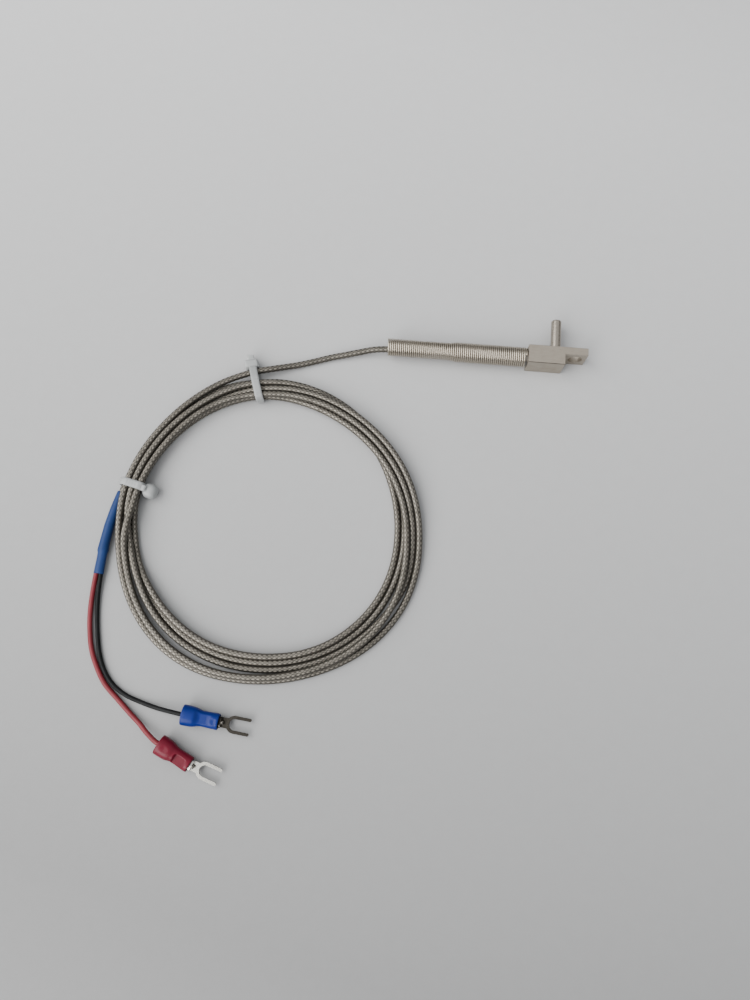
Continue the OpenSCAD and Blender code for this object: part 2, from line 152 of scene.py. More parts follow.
# Each pass of the cable round the coil, from the upper tie anticlockwise back to it, as
# (angle, radius from the coil's centre, height above the table). The next pass takes over
# where one ends.
PASSES = [
    # leaves the spring, lies on top at both ties and outermost round the bottom
    [(100, 51.2, 2.6), (105, 50.6, 2.6), (110, 50.1, 2.7), (115, 49.5, 3.1), (120, 48.8, 3.2),
     (125, 48.2, 3.4), (130, 47.7, 3.6), (135, 47.2, 3.7), (140, 46.9, 3.7), (150, 46.5, 3.8),
     (160, 46.3, 3.8), (168, 46.1, 3.8), (175, 45.8, 3.7), (185, 45.6, 3.4), (190, 45.5, 3.1),
     (195, 45.6, 2.7), (200, 45.9, 2.2), (210, 46.5, 1.5), (220, 47, 1.1), (230, 47.2, 1),
     (240, 47, 1), (250, 46.4, 1), (260, 45.7, 1), (270, 45.2, 1), (280, 45, 1),
     (290, 45, 1), (300, 45.4, 1), (310, 46, 1), (320, 46.5, 1), (330, 46.8, 1),
     (337, 46.8, 1), (345, 46.4, 1.1), (352, 46, 1.3), (360, 45.5, 1.7), (370, 45.2, 2.2),
     (380, 44.9, 2.8), (390, 44.6, 3), (400, 44.3, 3.1), (410, 44.1, 3.1), (420, 44.1, 3.2),
     (430, 44.3, 3.4), (440, 44.5, 3.6), (450, 44.7, 3.8)],
    # dives under the others before the left tie and stays low as far as the right
    [(100, 44.7, 3.8), (105, 44.8, 3.3), (110, 45, 2.7), (115, 45.1, 2.1), (122, 45.1, 1.6),
     (130, 45.1, 1.4), (145, 45, 1.4), (157, 45, 1.7), (167, 45, 1.95), (178, 44.9, 1.6),
     (188, 44.3, 1.1), (195, 43.4, 1), (200, 42.7, 1), (205, 42, 1), (210, 41.4, 1),
     (215, 40.9, 1), (225, 40.6, 1), (235, 40.5, 1), (245, 40.4, 1), (255, 40.3, 1),
     (265, 40.1, 1), (275, 40.1, 1), (285, 40.4, 1), (295, 40.7, 1), (305, 41, 1),
     (315, 41.2, 1), (325, 41.3, 1), (335, 41.3, 1), (345, 41.1, 1), (352, 40.8, 1),
     (360, 40.6, 1), (370, 40.8, 1), (380, 41.2, 1), (390, 42, 1), (400, 42.9, 1),
     (410, 43.9, 1), (418, 44.8, 1.1), (425, 45.4, 1.4), (433, 46, 2), (440, 46.3, 2.7),
     (450, 46.7, 3.4)],
    # on top at both ties, then the middle strand of the bottom
    [(100, 46.6, 3.8), (105, 46.4, 3.8), (112, 46.2, 3.8), (120, 45.8, 3.8), (130, 45.2, 3.8),
     (140, 44.8, 3.8), (150, 44.5, 3.8), (160, 44.4, 3.8), (167, 44.3, 3.8), (174, 44.1, 3.5),
     (182, 43.5, 3), (190, 42.6, 2.8), (197, 41.9, 2.8), (205, 41.7, 2.8), (213, 41.8, 2.5),
     (220, 42, 2), (228, 42.2, 1.4), (236, 42.3, 1), (245, 42.2, 1), (255, 42.1, 1),
     (265, 41.9, 1), (275, 41.8, 1), (285, 41.9, 1), (295, 42.2, 1), (305, 42.6, 1),
     (315, 43, 1), (325, 43.5, 1), (335, 44.2, 1), (342, 44.6, 1), (350, 44.4, 1.1),
     (355, 43.9, 1.3), (360, 43.5, 1.6), (370, 43.3, 2.2), (380, 43.1, 2.7), (390, 42.8, 3),
     (400, 42.5, 3.1), (410, 42.3, 3.1), (420, 42.2, 3.2), (430, 42.4, 3.4), (440, 42.6, 3.6),
     (450, 42.7, 3.8)],
    # innermost on top at both ties, then crosses out over the bottom and back in on the right
    [(100, 42.7, 3.8), (105, 42.9, 3.8), (110, 43.2, 3.8), (117, 43.5, 3.8), (125, 43.2, 3.8),
     (132, 42.8, 3.8), (140, 42.4, 3.8), (150, 42.1, 3.8), (160, 42.1, 3.8), (170, 42.4, 3.8),
     (180, 42.9, 3.7), (190, 43.5, 3.5), (200, 44.2, 3), (210, 44.9, 2.5), (220, 45.4, 2.3),
     (230, 45.7, 2.3), (240, 45.8, 2.3), (250, 45.6, 2.4), (255, 45.3, 2.5), (262, 44.8, 2.7),
     (270, 44.4, 2.7), (280, 44.1, 2.7), (290, 44, 2.7), (300, 44.2, 2.7), (310, 44.4, 2.8),
     (320, 44.4, 2.9), (330, 44.1, 2.9), (337, 43.7, 2.9), (345, 43, 2.9), (352, 42.2, 2.8),
     (360, 41.5, 2.7), (370, 41.3, 2.7), (380, 41.1, 2.8), (390, 40.7, 3), (400, 40.3, 3),
     (410, 40.1, 3), (420, 40.3, 2.8), (430, 40.7, 2.5), (440, 41.3, 2.2), (450, 42.2, 2)],
    # low all the way: innermost round the bottom, outermost under the upper tie
    [(100, 42.9, 1.95), (110, 43, 1.7), (120, 43, 1.4), (135, 42.9, 1.3), (150, 42.8, 1.4),
     (160, 42.8, 1.8), (167, 42.8, 1.95), (175, 42.4, 1.7), (185, 41.8, 1.2), (193, 41.3, 1),
     (200, 40.9, 1.3), (205, 40.5, 1.8), (210, 40, 2.2), (215, 39.6, 2.3), (222, 39.4, 2.3),
     (230, 39.1, 2.3), (240, 38.9, 2.3), (250, 38.7, 2.2), (260, 38.4, 2), (270, 38.3, 2),
     (280, 38.5, 1.9), (290, 38.9, 2.2), (300, 39.2, 2.2), (315, 39.3, 1.8), (330, 39.3, 1.2),
     (345, 39.2, 1), (360, 39.2, 1), (375, 39.2, 1), (385, 39.5, 1), (395, 40.2, 1),
     (405, 41.1, 1), (415, 42.1, 1), (425, 43.1, 1), (435, 44.2, 1.1), (445, 45.4, 1.4),
     (453, 46.4, 1.8)],
    # the last quarter, which leaves under the left tie
    [(100, 47.4, 1.95), (106, 48, 1.4), (112, 48.4, 1), (120, 48.6, 1), (126, 48.6, 1),
     (132, 48.3, 1), (138, 47.9, 1), (144, 47.5, 1), (150, 47.1, 1.1), (157, 46.9, 1.5),
     (162, 46.9, 1.8), (167, 47.0, 1.95)],
]
ANGLE_STEP = 2.5
STEPS_PER_TURN = round(360 / ANGLE_STEP)
SETTLING_ROUNDS = 400
CLEARANCE = 0.03
# In each round a share of every bend is smoothed out, the turns are drawn back towards PASSES
# by a share of their distance from it, and they sink by some millimetres
SMOOTHING = 0.22
HOLD_RADIUS = 0.05
HOLD_HEIGHT = 0.04
SINKING = 0.003
# Degrees beside a tie over which the turns come down from its strap to the table
TIE_RAMP = 8


def settled_coil():
    """The coil's centreline. The turns are pushed apart until none is closer to another than
    the cable is thick, and they sink until they rest on the table or on each other."""
    stations = [(angle + 360 * turn, radius, height)
                for turn, one_pass in enumerate(PASSES) for angle, radius, height in one_pass]
    angle, radius, height = np.array(stations).T
    theta = np.arange(angle[0], angle[-1] + 0.01, ANGLE_STEP)
    r = np.interp(theta, angle, radius)
    z = np.interp(theta, angle, height)
    aim, aim_z = r.copy(), z.copy()
    turned = (theta - 100) % 360 + 100
    floor = np.full_like(z, CABLE_D / 2)
    for tie in (TIE_TOP_ANGLE, TIE_LEFT_ANGLE):
        for seen_at in (tie, tie + 360):
            near = np.clip(1.25 - np.abs(turned - seen_at) / TIE_RAMP, 0, 1)
            floor += (STRAP_T + CLEARANCE) * near ** 1.5
    apart = CABLE_D + CLEARANCE
    for number in range(SETTLING_ROUNDS):
        easing = 1 - number / SETTLING_ROUNDS
        r[1:-1] += SMOOTHING * (r[:-2] + r[2:] - 2 * r[1:-1])
        z[1:-1] += SMOOTHING * (z[:-2] + z[2:] - 2 * z[1:-1])
        r += HOLD_RADIUS * (aim - r)
        z += HOLD_HEIGHT * (aim_z - z) - SINKING * easing
        for turns in range(1, len(PASSES)):
            k = turns * STEPS_PER_TURN
            if k >= len(r):
                break
            across, up = r[k:] - r[:-k], z[k:] - z[:-k]
            gap = np.maximum(np.hypot(across, up), 1e-6)
            push = np.clip(apart - gap, 0, None) / gap / 2
            r[k:] += push * across
            r[:-k] -= push * across
            z[k:] += push * up
            z[:-k] -= push * up
        z = np.maximum(z, floor)
    spin = np.radians(theta)
    return [(COIL_CENTRE[0] + a * math.cos(s), COIL_CENTRE[1] + a * math.sin(s), b)
            for a, b, s in zip(r, z, spin)]


# The cable starts in its ferrule inside the spring, sinks to the mouth's lower side, runs to
# the upper tie, goes round the coil and ends in the heat-shrink sleeve.
SLEEVE_AXIS = on_table([(-137.55, -56.8, 1.75), (-138.45, -60.2, 1.65), (-139.2, -63.6, 1.6),
                        (-139.8, -67, 1.6), (-140.2, -70.4, 1.6), (-140.5, -74, 1.6),
                        (-140.65, -78, 1.55), (-140.8, -82.3, 1.5)])
sleeve_line = resample(SLEEVE_AXIS, 0.5)
coil_line = settled_coil()
CABLE_ROUTE = (
    [(-32.7, AXIS_Y, 0), (-37.5, AXIS_Y, 0), (-44.5, AXIS_Y, -0.3), (-52.1, AXIS_Y - 0.2, -0.7),
     (MOUTH_X, AXIS_Y - 0.4, -1)]
    + on_table([(-63.9, -3.7, 2.4), (-68.1, -4.6, 1.85), (-73, -5.8, 1.3), (-77.6, -7, 1.05),
                (-82.6, -8.7, 1), (-87.6, -10.4, 1.2), (-92, -11.7, 1.7), (-95.6, -12.85, 2.3)])
    + on_table(coil_line)
    + [tuple(p) for p in sleeve_line[0:38:6]])

# The two leads, from inside the sleeve to inside their terminals
TERMINALS = {
    "red": {"place": (-115.3, -129.3), "turn": -27.0},
    "blue": {"place": (-109.7, -120.7), "turn": -6.4},
}
TERMINAL_Z = 2.5
INSULATION_END = 4.4


def on_terminal(which, along, side=0, up=0):
    spot = TERMINALS[which]
    c, s = math.cos(math.radians(spot["turn"])), math.sin(math.radians(spot["turn"]))
    x, y = spot["place"]
    return (x + along * c - side * s, y + along * s + side * c, TABLE_Z + TERMINAL_Z + up)


def beside_sleeve(index, side):
    ahead = sleeve_line[min(index + 1, len(sleeve_line) - 1)] - sleeve_line[index - 1]
    ahead /= np.linalg.norm(ahead)
    return tuple(sleeve_line[index] + side * np.array([-ahead[1], ahead[0], 0]))


# Half the distance between the two leads in the sleeve, and where in it they leave the cable
PAIR_SIDE = (RED_D + BLACK_D) / 4
SPLIT = 37
RED_ROUTE = (
    [beside_sleeve(k, -PAIR_SIDE) for k in (SPLIT, SPLIT + 6, len(sleeve_line) - 2)]
    + on_table([(-141.8, -88.2, 1.05), (-141.65, -94, 0.76), (-140.85, -99.3, 0.75),
                (-139.4, -104.8, 0.75), (-136.7, -110.2, 0.75), (-133.7, -114.4, 0.75),
                (-129.3, -118.3, 0.77), (-125.2, -121.8, 0.95), (-122.0, -124.3, 1.35),
                (-119.6, -126.4, 1.95)])
    + [on_terminal("red", -1.6, 0, -0.15), on_terminal("red", 1),
       on_terminal("red", INSULATION_END)])
BLACK_ROUTE = (
    [beside_sleeve(k, PAIR_SIDE) for k in (SPLIT, SPLIT + 6, len(sleeve_line) - 2)]
    + on_table([(-140.15, -88, 0.95), (-139.6, -94, 0.66), (-138.6, -99.6, 0.65),
                (-137.1, -105.4, 0.65), (-135.0, -110.0, 0.65), (-131.9, -113.9, 0.65),
                (-127.6, -116.7, 0.67), (-122.6, -118.4, 0.8), (-118.6, -119.4, 1.2),
                (-115.4, -119.95, 1.85)])
    + [on_terminal("blue", -1.6, 0, -0.15), on_terminal("blue", 1),
       on_terminal("blue", INSULATION_END)])


# ---- shapes ----

def piece(name, bm, material, replaced):
    """Turns a bmesh in millimetres into a smooth piece that stands for the replaced nodes."""
    bmesh.ops.recalc_face_normals(bm, faces=bm.faces)
    bmesh.ops.scale(bm, vec=(MM, MM, MM), verts=bm.verts)
    for face in bm.faces:
        face.smooth = True
    mesh = bpy.data.meshes.new(name)
    bm.to_mesh(mesh)
    bm.free()
    mesh.materials.append(material)
    made = bpy.data.objects.new(name, mesh)
    bpy.context.scene.collection.objects.link(made)
    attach(made, "root")
    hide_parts(*replaced)
    return made


def travel_frames(line):
    """Unit vectors ahead, sideways and up at each point, without twist."""
    ahead = np.gradient(line, axis=0)
    ahead /= np.linalg.norm(ahead, axis=1)[:, None]
    side = np.cross([0, 0, 1.0], ahead)
    side /= np.maximum(np.linalg.norm(side, axis=1)[:, None], 1e-9)
    return ahead, side, np.cross(ahead, side)


def wrapped(bm, rings, lengths, caps=True):
    """Wraps a flat grid round rings of points, with its own map: once round by mm along."""
    count, sides = rings.shape[:2]
    before = set(bm.verts)
    uv = bm.loops.layers.uv.get("along") or bm.loops.layers.uv.new("along")
    made = bmesh.ops.create_grid(bm, x_segments=sides, y_segments=count - 1, size=1)["verts"]
    spot = {v: (round((v.co.x + 1) / 2 * sides), round((v.co.y + 1) / 2 * (count - 1)))
            for v in made}
    faces = {f for v in made for f in v.link_faces}
    for face in faces:
        for loop in face.loops:
            column, row = spot[loop.vert]
            loop[uv].uv = (column / sides, lengths[row])
    for v, (column, row) in spot.items():
        v.co = rings[row, column % sides]
    bmesh.ops.remove_doubles(bm, verts=[v for v in bm.verts if v not in before], dist=1e-5)
    if caps:
        rim = [e for e in bm.edges if e.is_boundary and not any(v in before for v in e.verts)]
        bmesh.ops.holes_fill(bm, edges=rim, sides=0)


def tube(bm, line, diameter, sides, ripple=None):
    """A round tube along a line. A ripple takes (angle, mm along) and gives a raised height."""
    line = np.array(line, dtype=float)
    ahead, side, up = travel_frames(line)
    along = np.r_[0, np.cumsum(np.linalg.norm(np.diff(line, axis=0), axis=1))]
    turn = np.arange(sides) * 2 * np.pi / sides
    radius = np.full((len(line), sides), diameter / 2)
    if ripple is not None:
        radius = radius + ripple(turn[None, :], along[:, None])
    rings = (line[:, None, :]
             + (radius * np.cos(turn))[:, :, None] * side[:, None, :]
             + (radius * np.sin(turn))[:, :, None] * up[:, None, :])
    wrapped(bm, rings, along)


def oval_tube(bm, line, stations, sides):
    """A sleeve with an oval section, closed inside: the last station is the first again.
    Stations are (index along the line, half width, half height)."""
    ahead, side, up = travel_frames(line)
    turn = np.arange(sides) * 2 * np.pi / sides
    c, s = np.cos(turn), np.sin(turn)
    rings, lengths = [], []
    for index, wide, high in stations:
        low = int(min(index, len(line) - 1.001))
        part = index - low
        at = line[low] * (1 - part) + line[min(low + 1, len(line) - 1)] * part
        rings.append(at + wide * c[:, None] * side[low] + high * s[:, None] * up[low])
        lengths.append(index)
    wrapped(bm, np.array(rings), np.array(lengths, dtype=float), caps=False)


def lathe(bm, profile, steps):
    """Spins an outline of (along, radius) round the local X axis. Returns its vertices."""
    before = set(bm.verts)
    points = [bm.verts.new((x, 0, r)) for x, r in profile]
    edges = [bm.edges.new(pair) for pair in zip(points, points[1:])]
    bmesh.ops.spin(bm, geom=points + edges, cent=(0, 0, 0), axis=(1, 0, 0), dvec=(0, 0, 0),
                   angle=2 * math.pi, steps=steps, use_merge=True)
    fresh = [v for v in bm.verts if v not in before]
    bmesh.ops.remove_doubles(bm, verts=fresh, dist=1e-5)
    return [v for v in bm.verts if v not in before]


def place_terminal(bm, verts, which):
    spot = TERMINALS[which]
    bmesh.ops.rotate(bm, verts=verts, cent=(0, 0, 0),
                     matrix=Matrix.Rotation(math.radians(spot["turn"]), 3, "Z"))
    bmesh.ops.translate(bm, verts=verts, vec=(*spot["place"], TABLE_Z + TERMINAL_Z))


SHARP_ANGLE = math.radians(35)


def solid_copy(node, edge, segments):
    """A merged copy of a CAD solid in millimetres, with its sharp edges rounded."""
    bm = bmesh.new()
    bm.from_mesh(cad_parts[node].data)
    bmesh.ops.scale(bm, vec=(1 / MM, 1 / MM, 1 / MM), verts=bm.verts)
    bmesh.ops.remove_doubles(bm, verts=bm.verts, dist=2e-3)
    bmesh.ops.dissolve_limit(bm, angle_limit=math.radians(0.5), verts=bm.verts, edges=bm.edges)
    bmesh.ops.recalc_face_normals(bm, faces=bm.faces)
    sharp = [e for e in bm.edges if len(e.link_faces) == 2
             and e.calc_face_angle(0) > SHARP_ANGLE]
    bmesh.ops.bevel(bm, geom=sharp, offset=edge, offset_type="OFFSET", segments=segments,
                    profile=0.5, affect="EDGES", clamp_overlap=True, material=-1)
    return bm


# ---- finishes ----

def new_group(name, inputs, outputs):
    group = bpy.data.node_groups.new(name, "ShaderNodeTree")
    for label, kind, value in inputs:
        socket = group.interface.new_socket(label, in_out="INPUT", socket_type=kind)
        socket.default_value = value
    for label, kind in outputs:
        group.interface.new_socket(label, in_out="OUTPUT", socket_type=kind)
    return group, group.nodes.new("NodeGroupInput"), group.nodes.new("NodeGroupOutput")


def calc(tree, operation, *values):
    """A math node. Each value is a number or the output of another node."""
    node = tree.nodes.new("ShaderNodeMath")
    node.operation = operation
    for socket, value in zip(node.inputs, values):
        if isinstance(value, (int, float)):
            socket.default_value = value
        else:
            tree.links.new(value, socket)
    return node.outputs[0]


def blend_colour(tree, factor, first, second):
    node = tree.nodes.new("ShaderNodeMix")
    node.data_type = "RGBA"
    tree.links.new(factor, node.inputs[0])
    for socket, value in ((node.inputs[6], first), (node.inputs[7], second)):
        if isinstance(value, tuple):
            socket.default_value = (*value, 1)
        else:
            tree.links.new(value, socket)
    return node.outputs[2]


def noise(tree, vector, scale, detail=4.0, rough=0.55):
    node = tree.nodes.new("ShaderNodeTexNoise")
    node.inputs["Detail"].default_value = detail
    node.inputs["Roughness"].default_value = rough
    tree.links.new(vector, node.inputs["Vector"])
    node.inputs["Scale"].default_value = scale
    return node.outputs[0]


def spread(tree, value, low, high, out_low=0.0, out_high=1.0):
    """Maps low..high onto out_low..out_high. The last two may be outputs of other nodes."""
    node = tree.nodes.new("ShaderNodeMapRange")
    for socket, number in zip(node.inputs[1:5], (low, high, out_low, out_high)):
        if isinstance(number, (int, float)):
            socket.default_value = number
        else:
            tree.links.new(number, socket)
    tree.links.new(value, node.inputs[0])
    return node.outputs[0]


def bumped(tree, height, strength, distance):
    node = tree.nodes.new("ShaderNodeBump")
    tree.links.new(height, node.inputs["Height"])
    tree.links.new(distance, node.inputs["Distance"])
    node.inputs["Strength"].default_value = strength
    return node.outputs[0]


FINISH_OUT = [("Colour", "NodeSocketColor"), ("Roughness", "NodeSocketFloat"),
              ("Normal", "NodeSocketVector")]


def machined_group():
    """Metal with drawn or milled grain, faint mottling and small dull spots."""
    group, given, result = new_group("machined_metal", [
        ("Colour", "NodeSocketColor", (0.6, 0.6, 0.6, 1)),
        ("Shade", "NodeSocketColor", (0.4, 0.4, 0.4, 1)),
        ("Grain", "NodeSocketVector", (1, 1, 1)),
        ("Smoothest", "NodeSocketFloat", 0.25),
        ("Roughest", "NodeSocketFloat", 0.45),
        ("Depth", "NodeSocketFloat", 0.00001)], FINISH_OUT)
    place = group.nodes.new("ShaderNodeTexCoord").outputs["Object"]
    stretch = group.nodes.new("ShaderNodeVectorMath")
    stretch.operation = "MULTIPLY"
    group.links.new(place, stretch.inputs[0])
    group.links.new(given.outputs["Grain"], stretch.inputs[1])
    lines = noise(group, stretch.outputs[0], 1.0, 5, 0.6)
    patches = noise(group, place, 420.0, 3)
    spots = noise(group, place, 2600.0, 2)
    tone = calc(group, "ADD", calc(group, "MULTIPLY", lines, 0.6),
                calc(group, "MULTIPLY", patches, 0.5))
    shade = spread(group, tone, 0.35, 0.8)
    colour = blend_colour(group, shade, given.outputs["Colour"], given.outputs["Shade"])
    dull = spread(group, spots, 0.62, 0.72, 0.0, 0.35)
    colour = blend_colour(group, dull, colour, given.outputs["Shade"])
    rough = spread(group, calc(group, "ADD", calc(group, "MULTIPLY", lines, 0.5),
                               calc(group, "MULTIPLY", patches, 0.5)), 0.3, 0.7,
                   given.outputs["Smoothest"], given.outputs["Roughest"])
    group.links.new(colour, result.inputs["Colour"])
    group.links.new(rough, result.inputs["Roughness"])
    group.links.new(bumped(group, lines, 0.6, given.outputs["Depth"]), result.inputs["Normal"])
    return group


def moulded_group():
    """Plastic with an uneven skin, cloudy colour and fine scuffs."""
    group, given, result = new_group("moulded_plastic", [
        ("Colour", "NodeSocketColor", (0.5, 0.5, 0.5, 1)),
        ("Cloud", "NodeSocketColor", (0.6, 0.6, 0.6, 1)),
        ("Smoothest", "NodeSocketFloat", 0.3),
        ("Roughest", "NodeSocketFloat", 0.5),
        ("Scuffs", "NodeSocketFloat", 0.3),
        ("Depth", "NodeSocketFloat", 0.00002)], FINISH_OUT)
    place = group.nodes.new("ShaderNodeTexCoord").outputs["Object"]
    clouds = spread(group, noise(group, place, 260.0, 3), 0.3, 0.75)
    skin = noise(group, place, 1500.0, 3)
    scratch = spread(group, noise(group, place, 5200.0, 6, 0.7), 0.6, 0.72)
    colour = blend_colour(group, clouds, given.outputs["Colour"], given.outputs["Cloud"])
    marks = calc(group, "MULTIPLY", scratch, given.outputs["Scuffs"])
    colour = blend_colour(group, marks, colour, given.outputs["Cloud"])
    rough = spread(group, calc(group, "ADD", skin, calc(group, "MULTIPLY", marks, 0.4)),
                   0.3, 0.8, given.outputs["Smoothest"], given.outputs["Roughest"])
    group.links.new(colour, result.inputs["Colour"])
    group.links.new(rough, result.inputs["Roughness"])
    group.links.new(bumped(group, skin, 0.5, given.outputs["Depth"]), result.inputs["Normal"])
    return group


# Crossings round the cable, the length of one crossing, and the wires in a bundle
BRAID_ROUND = 6
BRAID_PITCH = 1.45
BRAID_WIRES = 5


def braid_group():
    """Flat bundles of fine wires that cross over and under each other round the cable. Its
    colour holds painted shade: dark in the crevices between crossings and between fine wires,
    and dimmer on every other crossing.
    """
    group, given, result = new_group("wire_braid", [
        ("Crown", "NodeSocketColor", (0.7, 0.7, 0.7, 1)),
        ("Gap", "NodeSocketColor", (0.05, 0.05, 0.05, 1)),
        ("Tarnish", "NodeSocketColor", (0.3, 0.28, 0.25, 1)),
        ("Depth", "NodeSocketFloat", 0.0001)], FINISH_OUT)
    uv = group.nodes.new("ShaderNodeUVMap")
    uv.uv_map = "along"
    split = group.nodes.new("ShaderNodeSeparateXYZ")
    group.links.new(uv.outputs[0], split.inputs[0])
    around = calc(group, "MULTIPLY", split.outputs[0], BRAID_ROUND)
    along = calc(group, "DIVIDE", split.outputs[1], BRAID_PITCH)
    full = 2 * math.pi
    cross = calc(group, "MULTIPLY", 0.5, calc(
        group, "ADD", calc(group, "COSINE", calc(group, "MULTIPLY", along, full)),
        calc(group, "COSINE", calc(group, "MULTIPLY", around, full))))
    dome = calc(group, "POWER", calc(group, "ABSOLUTE", cross), 0.4)
    over = calc(group, "GREATER_THAN", cross, 0.0)
    leaning = []
    for operation in ("ADD", "SUBTRACT"):
        slant = calc(group, operation, around, along)
        leaning.append(calc(group, "ABSOLUTE", calc(group, "SINE", calc(
            group, "MULTIPLY", slant, full * BRAID_WIRES / 2))))
    strands = calc(group, "ADD", calc(group, "MULTIPLY", leaning[0], over),
                   calc(group, "MULTIPLY", leaning[1], calc(group, "SUBTRACT", 1.0, over)))
    wires = calc(group, "MULTIPLY", dome, calc(group, "ADD", 0.72,
                                               calc(group, "MULTIPLY", strands, 0.28)))
    place = group.nodes.new("ShaderNodeTexCoord").outputs["Object"]
    stain = spread(group, noise(group, place, 330.0, 4), 0.45, 0.75)
    # Every other crossing is painted dimmer, standing in for light that catches only one slant
    # of wires (painted shade); the stain noise adds real tarnish.
    stain_and_shade = calc(group, "ADD", calc(group, "MULTIPLY", stain, 0.35), calc(
        group, "MULTIPLY", calc(group, "SUBTRACT", 1.0, over), 0.6))
    crown = blend_colour(group, stain_and_shade, given.outputs["Crown"], given.outputs["Tarnish"])
    # Low places between crossings and between fine wires take the dark crevice colour: painted
    # shade.
    colour = blend_colour(group, spread(group, wires, 0.12, 0.85), given.outputs["Gap"], crown)
    group.links.new(colour, result.inputs["Colour"])
    group.links.new(spread(group, wires, 0.0, 1.0, 0.6, 0.36), result.inputs["Roughness"])
    group.links.new(bumped(group, wires, 0.9, given.outputs["Depth"]), result.inputs["Normal"])
    return group


MACHINED = machined_group()
MOULDED = moulded_group()
BRAIDED = braid_group()


def finish(name, group, values, metallic=0.0, **plain):
    """A material from one of the groups; plain values go on the shader's own sockets."""
    material = bpy.data.materials.new(name)
    material.use_nodes = True
    tree = material.node_tree
    surface = tree.nodes["Principled BSDF"]
    node = tree.nodes.new("ShaderNodeGroup")
    node.node_tree = group
    for label, value in values.items():
        socket = node.inputs[label]
        socket.default_value = (*value, 1) if len(np.shape(value)) and socket.type == "RGBA" \
            else value
    tree.links.new(node.outputs["Colour"], surface.inputs["Base Color"])
    tree.links.new(node.outputs["Roughness"], surface.inputs["Roughness"])
    tree.links.new(node.outputs["Normal"], surface.inputs["Normal"])
    surface.inputs["Metallic"].default_value = metallic
    for label, value in plain.items():
        surface.inputs[label.replace("_", " ")].default_value = value
    return material


block_metal = finish("milled_nickel", MACHINED, {
    "Colour": (0.38, 0.34, 0.285), "Shade": (0.30, 0.265, 0.22), "Grain": (400, 5000, 5000),
    "Smoothest": 0.4, "Roughest": 0.55, "Depth": 0.00003}, 0.8)
# A dark colour for the block's top-front rounding: painted shade.
edge_painted_shade = finish("painted_shade_edge", MACHINED, {
    "Colour": (0.085, 0.076, 0.065), "Shade": (0.05, 0.045, 0.04), "Grain": (400, 5000, 5000),
    "Smoothest": 0.45, "Roughest": 0.6, "Depth": 0.00003}, 0.8)
pin_metal = finish("ground_steel", MACHINED, {
    "Colour": (0.40, 0.36, 0.305), "Shade": (0.30, 0.27, 0.228), "Grain": (900, 9000, 900),
    "Smoothest": 0.22, "Roughest": 0.36, "Depth": 0.00001}, 1.0)
# The stem tube is painted dark so that the gap between the spring's end and the block reads as
# a dark line: painted shade.
shaded_tube_steel = finish("drawn_steel_painted_shade", MACHINED, {
    "Colour": (0.2, 0.19, 0.175), "Shade": (0.13, 0.124, 0.115), "Grain": (500, 5000, 5000),
    "Smoothest": 0.25, "Roughest": 0.42, "Depth": 0.00001}, 1.0)
spring_metal = finish("spring_wire", MACHINED, {
    "Colour": (0.48, 0.432, 0.36), "Shade": (0.40, 0.36, 0.3), "Grain": (300, 1200, 1200),
    "Smoothest": 0.28, "Roughest": 0.4, "Depth": 0.000004}, 1.0)
brass = finish("plain_brass", MACHINED, {
    "Colour": (0.72, 0.52, 0.25), "Shade": (0.5, 0.36, 0.18), "Grain": (700, 4000, 4000),
    "Smoothest": 0.28, "Roughest": 0.45, "Depth": 0.00001}, 1.0)
bead_metal = finish("welded_bead", MACHINED, {
    "Colour": (0.28, 0.26, 0.25), "Shade": (0.1, 0.1, 0.1), "Grain": (1500, 1500, 1500),
    "Smoothest": 0.4, "Roughest": 0.7, "Depth": 0.00004}, 1.0)
iron_wire = finish("iron_alloy_wire", MACHINED, {
    "Colour": (0.36, 0.36, 0.35), "Shade": (0.24, 0.23, 0.22), "Grain": (600, 600, 600),
    "Smoothest": 0.3, "Roughest": 0.5, "Depth": 0.00001}, 1.0)
tinned_strand = finish("tinned_strand", MACHINED, {
    "Colour": (0.32, 0.3, 0.27), "Shade": (0.12, 0.11, 0.1), "Grain": (1200, 1200, 1200),
    "Smoothest": 0.22, "Roughest": 0.4, "Depth": 0.00001}, 1.0)
copper_wire = finish("copper_alloy_wire", MACHINED, {
    "Colour": (0.6, 0.48, 0.36), "Shade": (0.42, 0.33, 0.25), "Grain": (600, 600, 600),
    "Smoothest": 0.25, "Roughest": 0.45, "Depth": 0.00001}, 1.0)
tin_bright = finish("bright_tin", MACHINED, {
    "Colour": (0.70, 0.69, 0.64), "Shade": (0.28, 0.27, 0.245), "Grain": (900, 900, 900),
    "Smoothest": 0.14, "Roughest": 0.34, "Depth": 0.00001}, 1.0)
tin_dull = finish("dull_tin", MACHINED, {
    "Colour": (0.058, 0.053, 0.045), "Shade": (0.018, 0.016, 0.014), "Grain": (900, 900, 900),
    "Smoothest": 0.2, "Roughest": 0.4, "Depth": 0.00001}, 1.0)
